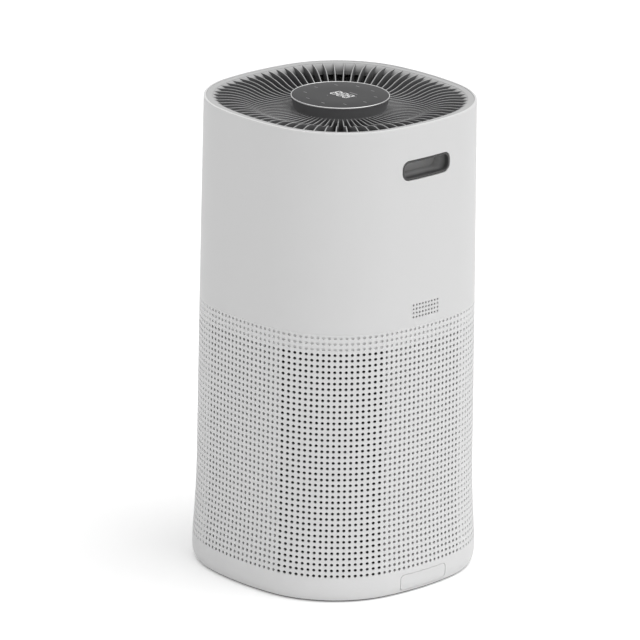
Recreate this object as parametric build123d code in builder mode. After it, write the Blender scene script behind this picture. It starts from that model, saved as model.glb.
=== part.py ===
from build123d import *
import os
from math import atan2, cos, radians, sin, sqrt

# Tower air purifier in millimetres: +Z is up, the floor is z = 0 and the body's axis is Z.
# The front looks along -Y. The sensor holes and the release tab are on the +X face.

# Fits
slide_gap = 0.3  # between bodies that move past each other
fit_gap = 0.2  # between pieces that are fixed to each other
running_gap = 0.05  # shaft in its bores, radial

# Outline of the body at the seam: four shallow face arcs blended into four wide corner arcs
side_count = 4
face_half = 139.2  # axis to the middle of a face
corner_radius = 105.3
face_sweep = 8.96  # degrees of face arc each side of the middle
wall = 2.5

# Base plate and feet
foot_length = 34.0
foot_width = 12.0
foot_stand = 0.7  # feet below the base plate
foot_sink = 0.8  # depth of a foot's pocket
foot_reach = 118.0  # axis to the middle of a foot
flange_thickness = 1.0
flange_inset = 1.5  # dark edge, set in from the skirt's bottom edge
platform_height = 10.1
platform_gap = 1.0  # platform to the skirt's lip

# Intake shell
seam_rise = 3.4  # top edge above the inlet plate
draft_height = 120.0  # straight side above, hollow flare below
draft_growth = 1.4  # growth of the half width from the seam, at the draft height
flare_height = 38.0  # where the hollow turns into the skirt's round
skirt_flare = 5.7  # growth at the skirt's widest
skirt_height = 14.0  # where the skirt is widest
skirt_tuck = 3.5  # how far the bottom edge curls back in
lip_width = 8.0
lip_thickness = 2.5
rest_width = 16.0  # ledges that carry the inlet plate
rest_depth = 4.0
rest_height = 6.0

# Upper shell
body_height = 524.8
rim_inset = 2.4  # the rim's half width, less than at the seam
rim_chamfer = 0.8
seam_gap = 0.3

# Hand grips
grip_width = 68.7
grip_height = 21.0
grip_round = 8.5
grip_drop = 48.5  # middle of the grip below the rim
grip_depth = 24.0
grip_wall = 1.8
grip_recess = 0.5  # cup edge behind the shell's surface

# Dust sensor
sensor_rise = 15.8  # middle of the sensor above the seam
sensor_width = 44.0
sensor_height = 20.0
sensor_depth = 10.0
sensor_chamber = 4.0  # depth of its air chamber
sensor_wall = 2.5

# Top bezel
bezel_width = 9.5  # rim's outer edge to the slat tips
bezel_drop = 0.8
bezel_step = 0.5  # bezel's outer edge below the rim
bezel_wall = 2.0
bezel_skirt = 15.0  # inner wall below the band, down to the ledge
ledge_width = 3.5  # carries the slats' tips
ledge_height = 3.0

# Outlet grille and control neck
slat_count = 72
slat_thickness = 1.4
slat_depth = 14.0  # at the neck
slat_level = 13.0  # level stretch at the slats' tips
slat_run = 34.0  # S-shaped stretch of a slat's top edge
neck_drop = 11.8  # foot of the neck below the rim
neck_radius = 50.6
neck_flare = 2.6
neck_wall = 2.5
neck_collar = 0.6  # hub ring above the slats' roots
post_size = 6.0

# Control panel and display
panel_rise = 1.8  # top of the glass above the rim
panel_radius = 53.6
panel_thickness = 1.4
panel_trim = 1.1  # width of the bright ring
board_length = 66.0
board_width = 46.0
board_thickness = 1.6
board_drop = 11.6  # board below the glass
display_length = 36.0
display_width = 16.0

# Filter cartridge
filter_radius = 110.0
filter_height = 284.0
filter_bore = 72.0
cap_thickness = 6.0
pleat_count = 24
pleat_outer = 106.0
pleat_inner = 78.0
pleat_sheet = 2.4  # folded media, measured along the radius
sleeve_wall = 1.2
sleeve_inset = 1.0  # pre-filter sleeve behind the caps' edge
lug_length = 18.0
lug_width = 4.0
lug_height = 6.0

# Inlet plate and fan
plate_thickness = 2.5
mouth_radius = 80.0
mouth_flare = 12.0
mouth_height = 14.0
mouth_wall = 2.0
mouth_gap = 2.0  # wheel above the mouth
duct_room = 26.2  # face of the body to the inside of the duct
duct_wall = 2.5
duct_drop = 17.2  # duct's rim below the grips
duct_rise = 25.0  # duct's rim above the motor cup
vane_count = 7
vane_thickness = 2.0
vane_height = 28.0
cup_wall = 2.5
cup_depth = 30.0
motor_radius = 38.0
motor_height = 42.0
motor_gap = 5.0  # motor above the wheel
wheel_gap = 9.0  # wheel to the inside of the duct
blade_count = 7
blade_thickness = 2.0
blade_root = 62.0  # radius of the blades' leading edges
blade_lag = 38.0  # degrees from root to tip
blade_sweep = 75.0  # radius of a blade's arc
shroud_width = 20.0
shroud_thickness = 2.0
hub_thickness = 6.0
shaft_radius = 4.0
shaft_stop = 4.0  # shaft's end below the motor's top
shaft_end = 2.0  # shaft's end below the wheel's hub
drive_sides = 6  # flats on the shaft's lower end and in the hub
drive_start = 1.0  # flats above the hub

# Power inlet, lead and power board
inlet_width = 22.0
inlet_height = 11.0
inlet_depth = 14.0
inlet_wall = 1.5
inlet_recess = 1.0  # socket's face behind the skirt
inlet_socket = 9.0  # depth of the socket
inlet_lift = 1.7  # inlet above the base's platform
pin_pitch = 8.0
pin_radius = 1.2
pin_length = 6.0
pin_sides = 6
lead_radius = 2.2
lead_sides = 8
lead_margin = 1.5  # lead to the inside of the shell
tray_width = 64.0
tray_height = 92.0
tray_wall = 2.0
tray_lift = 24.0  # tray above the inlet plate
tray_post = 3.0
card_margin = 2.0  # power board inside the tray's edge
coil_size = 22.0
coil_height = 10.0
plug_width = 14.0
plug_height = 10.0

# Release tab
tab_width = 66.0
tab_height = 17.3
tab_round = 4.5
tab_wall = 2.5
tab_gap = 0.4  # round the tab in its window
tab_travel = 3.0
arm_offset = 18.0
arm_width = 8.0
arm_thickness = 2.5
arm_lift = 2.0  # arms above the platform
catch_wall = 3.0
claw_thickness = 2.5
claw_drop = 5.0
guide_thickness = 1.8
guide_margin = 4.0
spring_span = 11.0
spring_strip = 0.4
spring_height = 6.0

# Radii and centres of the outline's arcs
quarter_turn = 360 / side_count
corner_turn = quarter_turn / 2
face_turn = radians(face_sweep)
arc_share = sin(face_turn) - cos(face_turn)
face_radius = (face_half + corner_radius * arc_share) / (1 + arc_share)
corner_centre = (face_radius - corner_radius) * sin(face_turn)

# Half widths and heights that several pieces share
flange_top = foot_stand + flange_thickness
platform_top = flange_top + platform_height
skirt_bottom = flange_top + slide_gap
lip_top = skirt_bottom + lip_thickness
skirt_half = face_half + skirt_flare
edge_half = skirt_half - skirt_tuck
lip_half = edge_half - lip_width
platform_half = lip_half - platform_gap
plate_bottom = platform_top + filter_height + slide_gap
plate_top = plate_bottom + plate_thickness
seam_height = plate_top + seam_rise
rim_half = face_half - rim_inset
bezel_half = rim_half - bezel_width
grip_middle = body_height - grip_drop
sensor_middle = seam_height + sensor_rise
ledge_top = body_height - bezel_drop - bezel_skirt
neck_foot = body_height - neck_drop
slat_bottom = neck_foot - slat_depth
hub_ring_top = neck_foot + neck_collar
well_radius = neck_radius - neck_wall - fit_gap
slat_top = body_height - bezel_drop
slat_crest = bezel_half - slat_level
slat_hollow = slat_crest - slat_run
glass_top = body_height + panel_rise
glass_bottom = glass_top - panel_thickness
board_top = glass_bottom - board_drop
mouth_top = plate_bottom + mouth_height
wheel_bottom = mouth_top + mouth_gap
duct_top = grip_middle - grip_height / 2 - duct_drop
cup_top = duct_top - duct_rise
motor_top = cup_top - cup_wall
motor_bottom = motor_top - motor_height
hub_bottom = motor_bottom - motor_gap - hub_thickness
blade_height = hub_bottom - wheel_bottom
cup_radius = motor_radius + fit_gap + cup_wall
duct_radius = face_half - duct_room
duct_outer = duct_radius + duct_wall
wheel_radius = duct_radius - wheel_gap
lead_reach = face_half - wall - lead_margin - lead_radius
inlet_middle = platform_top + inlet_lift + inlet_height / 2
tray_bottom = plate_top + tray_lift
card_face = duct_outer + fit_gap + tray_wall + tray_post
tab_bottom = lip_top + tab_gap
tab_middle = tab_bottom + tab_height / 2
arm_bottom = platform_top + arm_lift
claw_face = platform_half - catch_wall - slide_gap
guide_face = lip_half + fit_gap + guide_thickness


def upper_half(height):
    """Half width of the upper shell's outside at a height."""
    return face_half - rim_inset * (height - seam_height) / (body_height - seam_height)


def face_sag(reach):
    """How far a face's arc falls back at a distance from its middle."""
    return face_radius - sqrt(face_radius**2 - reach**2)


def outline_reach(half, turn):
    """Axis to the outline in a direction, where its faces stand half from the axis."""
    grow = half - face_half
    away = radians(abs((turn + corner_turn) % quarter_turn - corner_turn))
    face_bend = face_radius + grow
    face_centre = face_half - face_radius
    face_end = atan2(face_bend * sin(face_turn), face_centre + face_bend * cos(face_turn))
    if away < face_end:
        return face_centre * cos(away) + sqrt(face_bend**2 - (face_centre * sin(away)) ** 2)
    along = corner_centre * (cos(away) + sin(away))
    across = corner_centre * (cos(away) - sin(away))
    return along + sqrt((corner_radius + grow) ** 2 - across**2)


def body_path():
    """Closed path round the body at the seam, from the middle of the +X face."""
    with BuildLine() as path:
        CenterArc((face_half - face_radius, 0), face_radius, 0, face_sweep)
        for side in range(side_count):
            turn = quarter_turn * side
            corner = Vector(corner_centre, corner_centre).rotate(Axis.Z, turn)
            face = Vector(0, face_half - face_radius).rotate(Axis.Z, turn)
            last = side == side_count - 1
            face_size = face_sweep if last else 2 * face_sweep
            CenterArc(corner, corner_radius, turn + face_sweep, quarter_turn - 2 * face_sweep)
            CenterArc(face, face_radius, turn + quarter_turn - face_sweep, face_size)
    return path.wires()[0]


def body_outline(half):
    """The body's outline as a face, offset so that its faces stand half from the axis."""
    grow = half - face_half
    with BuildSketch() as outline:
        with BuildLine():
            for side in range(side_count):
                turn = quarter_turn * side
                corner = Vector(corner_centre, corner_centre).rotate(Axis.Z, turn)
                face = Vector(0, face_half - face_radius).rotate(Axis.Z, turn)
                CenterArc(corner, corner_radius + grow, turn + face_sweep, quarter_turn - 2 * face_sweep)
                CenterArc(face, face_radius + grow, turn + quarter_turn - face_sweep, 2 * face_sweep)
        make_face()
    return outline.sketch


def intake_side():
    """Outer side of the intake shell, from the seam to the skirt's widest point."""
    hollow_drop = draft_height - flare_height
    round_drop = flare_height - skirt_height
    lean = draft_growth / (seam_height - draft_height)
    # The hollow meets the round where the round then ends upright at the skirt's widest point
    reach = skirt_flare * hollow_drop + draft_growth * round_drop + lean * hollow_drop * round_drop / 2
    flare_growth = reach / (hollow_drop + round_drop)
    seam = Vector(face_half, seam_height)
    draft = Vector(face_half + draft_growth, draft_height)
    flare = Vector(face_half + flare_growth, flare_height)
    with BuildLine() as side:
        Line(seam, draft)
        hollow = TangentArc(draft, flare, tangent=draft - seam)
        TangentArc(flare, (skirt_half, skirt_height), tangent=hollow % 1)
    return side.line


def intake_inside(inset):
    """Back of the same wall in two straight slopes, set in from the outer side."""
    with BuildLine() as side:
        Polyline(
            (face_half - inset, seam_height),
            (face_half + draft_growth - inset, draft_height),
            (skirt_half - inset, skirt_height),
        )
    return side.line


def skirt_edge(inset):
    """Curl of the skirt from its widest point down to its bottom edge, set in from outside."""
    with BuildLine() as edge:
        TangentArc((skirt_half - inset, skirt_height), (edge_half - inset, skirt_bottom), tangent=(0, -1))
    return edge.line


def slat_side(slat_end):
    """Side of an outlet slat: level at the neck, then its top edge climbs in two opposed arcs."""
    slat_root = neck_radius - neck_wall / 2
    middle = ((slat_hollow + slat_crest) / 2, (neck_foot + slat_top) / 2)
    with BuildSketch() as slat:
        with BuildLine():
            hollow = TangentArc((slat_hollow, neck_foot), middle, tangent=(1, 0))
            TangentArc(middle, (slat_crest, slat_top), tangent=hollow % 1)
            Polyline(
                (slat_crest, slat_top),
                (slat_end, slat_top),
                (slat_end, ledge_top),
                (slat_crest, ledge_top),
                (slat_root, slat_bottom),
                (slat_root, neck_foot),
                (slat_hollow, neck_foot),
            )
        make_face()
    return slat.sketch


def write(node, label):
    """Label a finished piece and write it to its own file."""
    node.part.label = label
    export_step(node.part, f"parts/{label}.step")


os.makedirs("parts", exist_ok=True)
outline_path = body_path()

# Base plate: dark flange under the skirt, platform for the filter, pockets for feet and claws
with BuildPart() as base_plate:
    with BuildSketch(Plane.XY.offset(foot_stand)):
        add(body_outline(edge_half - flange_inset))
    extrude(amount=flange_thickness)
    with BuildSketch(Plane.XY.offset(flange_top)):
        add(body_outline(platform_half))
    extrude(amount=platform_height)
    with BuildSketch(Plane.XY.offset(platform_top)):
        with PolarLocations(filter_radius + fit_gap + lug_width / 2, side_count):
            Rectangle(lug_width, lug_length)
    extrude(amount=lug_height)
    with BuildSketch(Plane.XY.offset(foot_stand)):
        with PolarLocations(foot_reach, side_count, corner_turn):
            Rectangle(foot_width + 2 * fit_gap, foot_length + 2 * fit_gap)
    extrude(amount=foot_sink, mode=Mode.SUBTRACT)
    with BuildSketch(Plane.XY.offset(platform_top)):
        pocket_inner = claw_face - claw_thickness - tab_travel - slide_gap
        pocket_outer = platform_half - catch_wall
        pocket_middle = (pocket_inner + pocket_outer) / 2
        with Locations((pocket_middle, -arm_offset), (pocket_middle, arm_offset)):
            Rectangle(pocket_outer - pocket_inner, arm_width + 2 * slide_gap)
    extrude(amount=-(claw_drop + slide_gap), mode=Mode.SUBTRACT)
write(base_plate, "base_plate")

with BuildPart() as base_feet:
    with BuildSketch():
        with PolarLocations(foot_reach, side_count, corner_turn):
            Rectangle(foot_width, foot_length)
    extrude(amount=foot_stand + foot_sink)
write(base_feet, "base_feet")

# Filter cartridge: closed lower cap, open upper cap, pleated media and pre-filter sleeve between
media_bottom = platform_top + cap_thickness
media_height = filter_height - 2 * cap_thickness

with BuildPart() as filter_lower_cap:
    with BuildSketch(Plane.XY.offset(platform_top)):
        Circle(filter_radius)
    extrude(amount=cap_thickness)
write(filter_lower_cap, "filter_lower_cap")

with BuildPart() as filter_upper_cap:
    with BuildSketch(Plane.XY.offset(media_bottom + media_height)):
        Circle(filter_radius)
        Circle(filter_bore, mode=Mode.SUBTRACT)
    extrude(amount=cap_thickness)
write(filter_upper_cap, "filter_upper_cap")

with BuildPart() as filter_media:
    with BuildSketch(Plane.XY.offset(media_bottom)):
        for inset, fold_mode in ((0, Mode.ADD), (pleat_sheet, Mode.SUBTRACT)):
            folds = []
            half_pleat = 180 / pleat_count
            for fold in range(pleat_count):
                folds.append(Vector(pleat_outer - inset, 0).rotate(Axis.Z, 2 * fold * half_pleat))
                folds.append(Vector(pleat_inner - inset, 0).rotate(Axis.Z, (2 * fold + 1) * half_pleat))
            with BuildLine():
                Polyline(*folds, close=True)
            make_face(mode=fold_mode)
    extrude(amount=media_height)
write(filter_media, "filter_media")

with BuildPart() as filter_sleeve:
    with BuildSketch(Plane.XY.offset(media_bottom)):
        Circle(filter_radius - sleeve_inset)
        Circle(filter_radius - sleeve_inset - sleeve_wall, mode=Mode.SUBTRACT)
    extrude(amount=media_height)
write(filter_sleeve, "filter_sleeve")

# Intake shell: wall profile with flared skirt and inward lip, swept round the body
with BuildPart() as intake_shell:
    with BuildSketch(Plane.XZ):
        with BuildLine():
            add(intake_side())
            add(skirt_edge(0))
            Polyline(
                (edge_half, skirt_bottom),
                (lip_half, skirt_bottom),
                (lip_half, lip_top),
                (skirt_half - wall, lip_top),
                (skirt_half - wall, skirt_height),
            )
            add(intake_inside(wall))
            Line((face_half - wall, seam_height), (face_half, seam_height))
        make_face()
    sweep(path=outline_path)
    with BuildSketch(Plane.XY.offset(plate_bottom)):
        rest_root = outline_reach(face_half - wall / 2, corner_turn)
        rest_length = rest_depth + wall / 2
        with PolarLocations(rest_root - rest_length / 2, side_count, corner_turn):
            Rectangle(rest_length, rest_width)
    extrude(amount=-rest_height)
    with BuildSketch(Plane.YZ.offset(lip_half)):
        with Locations((0, tab_middle)):
            RectangleRounded(tab_width + 2 * tab_gap, tab_height + 2 * tab_gap, tab_round + tab_gap)
    extrude(amount=lip_width + skirt_tuck + wall, mode=Mode.SUBTRACT)
    with BuildSketch(Plane.XZ.offset(-lip_half)):
        with Locations((0, inlet_middle)):
            Rectangle(inlet_width + 2 * fit_gap, inlet_height + 2 * fit_gap)
    extrude(amount=-(lip_width + skirt_tuck + wall), mode=Mode.SUBTRACT)
write(intake_shell, "intake_shell")

# Upper shell: tapered sleeve with grip holes in both side faces
with BuildPart() as upper_shell:
    with BuildSketch(Plane.XZ):
        with BuildLine():
            Polyline(
                (upper_half(seam_height + seam_gap), seam_height + seam_gap),
                (upper_half(body_height - rim_chamfer), body_height - rim_chamfer),
                (rim_half - rim_chamfer, body_height),
                (rim_half - wall, body_height),
                (upper_half(seam_height + seam_gap) - wall, seam_height + seam_gap),
                close=True,
            )
        make_face()
    sweep(path=outline_path)
    with BuildSketch(Plane.YZ):
        with Locations((0, grip_middle)):
            RectangleRounded(grip_width, grip_height, grip_round)
    extrude(amount=face_half, both=True, mode=Mode.SUBTRACT)
write(upper_shell, "upper_shell")

# Hand-grip cup: pocket behind the shell's hole, trimmed to lie just under the shell's surface
with BuildPart() as grip_cup_right:
    grip_floor = upper_half(grip_middle) - grip_depth
    with BuildSketch(Plane.YZ.offset(grip_floor - grip_wall)):
        with Locations((0, grip_middle)):
            RectangleRounded(grip_width - 2 * fit_gap, grip_height - 2 * fit_gap, grip_round - fit_gap)
    extrude(amount=grip_depth + 2 * grip_wall)
    with BuildSketch(Plane.YZ.offset(grip_floor)):
        with Locations((0, grip_middle)):
            inset = fit_gap + grip_wall
            RectangleRounded(grip_width - 2 * inset, grip_height - 2 * inset, grip_round - inset)
    extrude(amount=grip_depth + grip_wall, mode=Mode.SUBTRACT)
    for level in (grip_middle - grip_height, grip_middle + grip_height):
        with BuildSketch(Plane.XY.offset(level)):
            add(body_outline(upper_half(level) - grip_recess))
    loft(mode=Mode.INTERSECT)
write(grip_cup_right, "grip_cup_right")

with BuildPart() as grip_cup_left:
    mirror(grip_cup_right.part, about=Plane.YZ)
write(grip_cup_left, "grip_cup_left")

# Dust sensor: box against the inside of the +X face, with an open air chamber
with BuildPart() as air_sensor:
    sensor_wall_face = upper_half(sensor_middle + sensor_height / 2) - wall
    sensor_face = sensor_wall_face - face_sag(sensor_width / 2) - fit_gap
    with BuildSketch(Plane.YZ.offset(sensor_face)):
        with Locations((0, sensor_middle)):
            Rectangle(sensor_width, sensor_height)
    extrude(amount=-sensor_depth)
    with BuildSketch(Plane.YZ.offset(sensor_face)):
        with Locations((0, sensor_middle)):
            Rectangle(sensor_width - 2 * sensor_wall, sensor_height - 2 * sensor_wall)
    extrude(amount=-sensor_chamber, mode=Mode.SUBTRACT)
write(air_sensor, "air_sensor")

# Top bezel: band inside the rim, with a wall down past the slats' tips to their ledge
with BuildPart() as top_bezel:
    with BuildSketch(Plane.XZ):
        with BuildLine():
            bezel_outer = rim_half - wall - fit_gap
            bezel_edge = body_height - bezel_step
            Polyline(
                (bezel_outer, bezel_edge),
                (bezel_half, slat_top),
                (bezel_half, ledge_top),
                (bezel_half - ledge_width, ledge_top),
                (bezel_half - ledge_width, ledge_top - ledge_height),
                (bezel_half + bezel_wall, ledge_top - ledge_height),
                (bezel_outer, bezel_edge - bezel_wall),
                close=True,
            )
        make_face()
    sweep(path=outline_path)
write(top_bezel, "top_bezel")

# Outlet grille: radial slats from a hub ring out to the bezel's ledge
with BuildPart() as outlet_grille:
    for number in range(slat_count):
        turn = 360 * number / slat_count
        along = Vector(1, 0).rotate(Axis.Z, turn)
        across = Vector(0, -1).rotate(Axis.Z, turn)
        with BuildSketch(Plane((0, 0, 0), x_dir=along, z_dir=across)):
            add(slat_side(outline_reach(bezel_half, turn) - slide_gap))
    extrude(amount=slat_thickness / 2, both=True)
    with BuildSketch(Plane.XY.offset(slat_bottom)):
        Circle(neck_radius)
        Circle(neck_radius - neck_wall, mode=Mode.SUBTRACT)
    extrude(amount=hub_ring_top - slat_bottom)
write(outlet_grille, "outlet_grille")

# Control neck: well inside the hub ring, flared above it, with posts for the board
with BuildPart() as control_neck:
    with BuildSketch(Plane.XZ):
        with BuildLine():
            well_bottom = slat_bottom - neck_wall
            Polyline(
                (0, well_bottom),
                (well_radius, well_bottom),
                (well_radius, hub_ring_top),
                (neck_radius, hub_ring_top),
                (neck_radius + neck_flare, glass_bottom),
                (neck_radius + neck_flare - neck_wall, glass_bottom),
                (well_radius - neck_wall, hub_ring_top),
                (well_radius - neck_wall, slat_bottom),
                (0, slat_bottom),
                close=True,
            )
        make_face()
    revolve(axis=Axis.Z)
    with BuildSketch(Plane.XY.offset(slat_bottom)):
        with GridLocations(board_length - post_size, board_width - post_size, 2, 2):
            Rectangle(post_size, post_size)
    extrude(amount=board_top - board_thickness - slat_bottom)
write(control_neck, "control_neck")

# Control board on the well's posts, display block under the glass, glass and bright ring
with BuildPart() as control_board:
    with BuildSketch(Plane.XY.offset(board_top)):
        Rectangle(board_length, board_width)
    extrude(amount=-board_thickness)
write(control_board, "control_board")

with BuildPart() as led_display:
    with BuildSketch(Plane.XY.offset(board_top)):
        Rectangle(display_length, display_width)
    extrude(amount=board_drop - fit_gap)
write(led_display, "led_display")

with BuildPart() as panel_glass:
    with BuildSketch(Plane.XY.offset(glass_bottom)):
        Circle(panel_radius - panel_trim - fit_gap)
    extrude(amount=panel_thickness)
write(panel_glass, "panel_glass")

with BuildPart() as panel_ring:
    with BuildSketch(Plane.XY.offset(glass_bottom)):
        Circle(panel_radius)
        Circle(panel_radius - panel_trim, mode=Mode.SUBTRACT)
    extrude(amount=panel_thickness)
write(panel_ring, "panel_ring")

# Inlet plate across the seam, with the conical mouth that leads air into the fan wheel
with BuildPart() as inlet_plate:
    with BuildSketch(Plane.XY.offset(plate_bottom)):
        add(body_outline(face_half - wall - fit_gap))
        Circle(mouth_radius + mouth_flare, mode=Mode.SUBTRACT)
        with Locations((0, face_half)):
            notch_half = lead_radius + slide_gap
            Rectangle(2 * notch_half, 2 * (face_half - lead_reach + notch_half), mode=Mode.SUBTRACT)
    extrude(amount=plate_thickness)
    with BuildSketch(Plane.XZ):
        with BuildLine():
            Polyline(
                (mouth_radius + mouth_flare, plate_bottom),
                (mouth_radius, mouth_top),
                (mouth_radius + mouth_wall, mouth_top),
                (mouth_radius + mouth_flare + mouth_wall, plate_top),
                (mouth_radius + mouth_flare + mouth_wall, plate_bottom),
                close=True,
            )
        make_face()
    revolve(axis=Axis.Z)
write(inlet_plate, "inlet_plate")

# Fan duct: tube on the inlet plate with the motor cup held in it by stator vanes
with BuildPart() as fan_duct:
    with BuildSketch(Plane.XY.offset(plate_top)):
        Circle(duct_outer)
        Circle(duct_radius, mode=Mode.SUBTRACT)
    extrude(amount=duct_top - plate_top)
    with BuildSketch(Plane.XY.offset(cup_top)):
        vane_start = cup_radius - cup_wall / 2
        vane_end = duct_radius + duct_wall / 2
        with PolarLocations((vane_start + vane_end) / 2, vane_count):
            Rectangle(vane_end - vane_start, vane_thickness)
    extrude(amount=-vane_height)
    with BuildSketch(Plane.XY.offset(cup_top)):
        Circle(cup_radius)
    extrude(amount=-(cup_wall + cup_depth))
    with BuildSketch(Plane.XY.offset(motor_top)):
        Circle(cup_radius - cup_wall)
    extrude(amount=-cup_depth, mode=Mode.SUBTRACT)
write(fan_duct, "fan_duct")

with BuildPart() as fan_motor:
    with BuildSketch(Plane.XY.offset(motor_bottom)):
        Circle(motor_radius)
    extrude(amount=motor_height)
    with BuildSketch(Plane.XY.offset(motor_bottom)):
        Circle(shaft_radius + running_gap)
    extrude(amount=motor_height - shaft_stop + slide_gap, mode=Mode.SUBTRACT)
write(fan_motor, "fan_motor")

# Fan wheel: backward-curved blades between an inlet ring and the hub disc, on the motor's shaft
with BuildSketch() as blade:
    with BuildLine():
        blade_tip = Vector(wheel_radius - blade_thickness, 0).rotate(Axis.Z, -blade_lag)
        RadiusArc((blade_root, 0), blade_tip, blade_sweep)
    trace(line_width=blade_thickness)

with BuildPart() as impeller:
    with BuildSketch(Plane.XY.offset(hub_bottom)):
        Circle(wheel_radius)
    extrude(amount=hub_thickness)
    with BuildSketch(Plane.XY.offset(wheel_bottom)):
        Circle(wheel_radius)
        Circle(wheel_radius - shroud_width, mode=Mode.SUBTRACT)
    extrude(amount=shroud_thickness)
    with BuildSketch(Plane.XY.offset(wheel_bottom + shroud_thickness)):
        with PolarLocations(0, blade_count):
            add(blade.sketch)
    extrude(amount=blade_height - shroud_thickness)
    with BuildSketch(Plane.XY.offset(hub_bottom)):
        RegularPolygon(shaft_radius + running_gap, drive_sides)
    extrude(amount=hub_thickness, mode=Mode.SUBTRACT)
write(impeller, "impeller")

with BuildPart() as motor_shaft:
    drive_top = hub_bottom + hub_thickness + drive_start
    with BuildSketch(Plane.XY.offset(drive_top)):
        Circle(shaft_radius)
    extrude(amount=motor_top - shaft_stop - drive_top)
    with BuildSketch(Plane.XY.offset(hub_bottom - shaft_end)):
        RegularPolygon(shaft_radius, drive_sides)
    extrude(amount=drive_top - hub_bottom + shaft_end)
write(motor_shaft, "motor_shaft")

# Power inlet low in the rear of the skirt, and its lead up the inside of the rear wall
with BuildPart() as power_inlet:
    inlet_face = skirt_half - inlet_recess
    with BuildSketch(Plane.XZ.offset(-inlet_face)):
        with Locations((0, inlet_middle)):
            Rectangle(inlet_width, inlet_height)
    extrude(amount=inlet_depth)
    with BuildSketch(Plane.XZ.offset(-inlet_face)):
        with Locations((0, inlet_middle)):
            Rectangle(inlet_width - 2 * inlet_wall, inlet_height - 2 * inlet_wall)
    extrude(amount=inlet_socket, mode=Mode.SUBTRACT)
    with BuildSketch(Plane.XZ.offset(inlet_socket - inlet_face)):
        with Locations((0, inlet_middle)):
            with GridLocations(pin_pitch, pin_pitch, 2, 1):
                RegularPolygon(pin_radius, pin_sides)
    extrude(amount=-pin_length)
write(power_inlet, "power_inlet")

card_bottom = tray_bottom + card_margin
with BuildPart() as supply_lead:
    with BuildSketch(Plane.XY.offset(inlet_middle + inlet_height / 2)):
        with Locations((0, lead_reach)):
            RegularPolygon(lead_radius, lead_sides)
    extrude(amount=card_bottom - inlet_middle - inlet_height / 2)
write(supply_lead, "supply_lead")

# Power board on a posted tray against the rear of the fan duct
tray_middle = tray_bottom + tray_height / 2
with BuildPart() as board_tray:
    with BuildSketch(Plane.XZ.offset(-(duct_outer + fit_gap))):
        with Locations((0, tray_middle)):
            Rectangle(tray_width, tray_height)
    extrude(amount=-tray_wall)
    with BuildSketch(Plane.XZ.offset(-(duct_outer + fit_gap + tray_wall))):
        with Locations((0, tray_middle)):
            post_inset = 2 * card_margin + post_size
            with GridLocations(tray_width - post_inset, tray_height - post_inset, 2, 2):
                Rectangle(post_size, post_size)
    extrude(amount=-tray_post)
write(board_tray, "board_tray")

with BuildPart() as power_board:
    with BuildSketch(Plane.XZ.offset(-card_face)):
        with Locations((0, tray_middle)):
            Rectangle(tray_width - 2 * card_margin, tray_height - 2 * card_margin)
    extrude(amount=-board_thickness)
    with BuildSketch(Plane.XZ.offset(-(card_face + board_thickness))):
        with Locations((0, tray_middle)):
            Rectangle(coil_size, coil_size)
    extrude(amount=-coil_height)
    with BuildSketch(Plane.XZ.offset(-(card_face + board_thickness))):
        with Locations((0, card_bottom + plug_height / 2)):
            Rectangle(plug_width, plug_height)
    extrude(amount=-(lead_reach + lead_radius - card_face - board_thickness))
write(power_board, "power_board")

# Release tab: curved plate flush with the skirt, with two arms and claws over the base's catch
with BuildPart() as release_tab:
    with BuildSketch(Plane.XZ):
        with BuildLine():
            add(intake_side())
            add(skirt_edge(0))
            Line((edge_half, skirt_bottom), (edge_half - tab_wall, skirt_bottom))
            add(skirt_edge(tab_wall))
            add(intake_inside(tab_wall))
            Line((face_half - tab_wall, seam_height), (face_half, seam_height))
        make_face()
    sweep(path=outline_path)
    with BuildSketch(Plane.YZ.offset(lip_half)):
        with Locations((0, tab_middle)):
            RectangleRounded(tab_width, tab_height, tab_round)
    extrude(amount=lip_width + skirt_tuck + wall, mode=Mode.INTERSECT)
    for side in (-arm_offset, arm_offset):
        arm_root = skirt_half - face_sag(arm_offset) - tab_wall / 2
        claw_back = claw_face - claw_thickness
        with BuildSketch(Plane.XY.offset(arm_bottom)):
            with Locations(((arm_root + claw_back) / 2, side)):
                Rectangle(arm_root - claw_back, arm_width)
        extrude(amount=arm_thickness)
        with BuildSketch(Plane.XY.offset(arm_bottom)):
            with Locations(((claw_face + claw_back) / 2, side)):
                Rectangle(claw_thickness, arm_width)
        extrude(amount=-(arm_lift + claw_drop))
write(release_tab, "release_tab")

guide_top = arm_bottom + arm_thickness + guide_margin
with BuildPart() as tab_guide:
    with BuildSketch(Plane.YZ.offset(guide_face - guide_thickness)):
        with Locations((0, (lip_top + guide_top) / 2)):
            Rectangle(2 * arm_offset + arm_width + 2 * guide_margin, guide_top - lip_top)
        for side in (-arm_offset, arm_offset):
            with Locations((side, arm_bottom + arm_thickness / 2)):
                Rectangle(arm_width + 2 * slide_gap, arm_thickness + 2 * slide_gap, mode=Mode.SUBTRACT)
    extrude(amount=guide_thickness)
write(tab_guide, "tab_guide")

# Leaf spring bowed between the guide and the back of the tab
with BuildPart() as tab_spring:
    with BuildSketch(Plane.XY.offset(skirt_height - spring_height / 2)):
        with BuildLine():
            spring_foot = guide_face + fit_gap
            spring_apex = skirt_half - tab_wall - fit_gap - slide_gap
            ThreePointArc((spring_foot, -spring_span), (spring_apex, 0), (spring_foot, spring_span))
            Line((spring_foot, spring_span), (spring_foot, spring_span - spring_strip))
            ThreePointArc(
                (spring_foot, spring_span - spring_strip),
                (spring_apex - spring_strip, 0),
                (spring_foot, spring_strip - spring_span),
            )
            Line((spring_foot, spring_strip - spring_span), (spring_foot, -spring_span))
        make_face()
    extrude(amount=spring_height)
write(tab_spring, "tab_spring")
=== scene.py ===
from math import cos, pi, radians, sin, sqrt

import bpy
import numpy as np
from mathutils import Matrix, Vector


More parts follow.
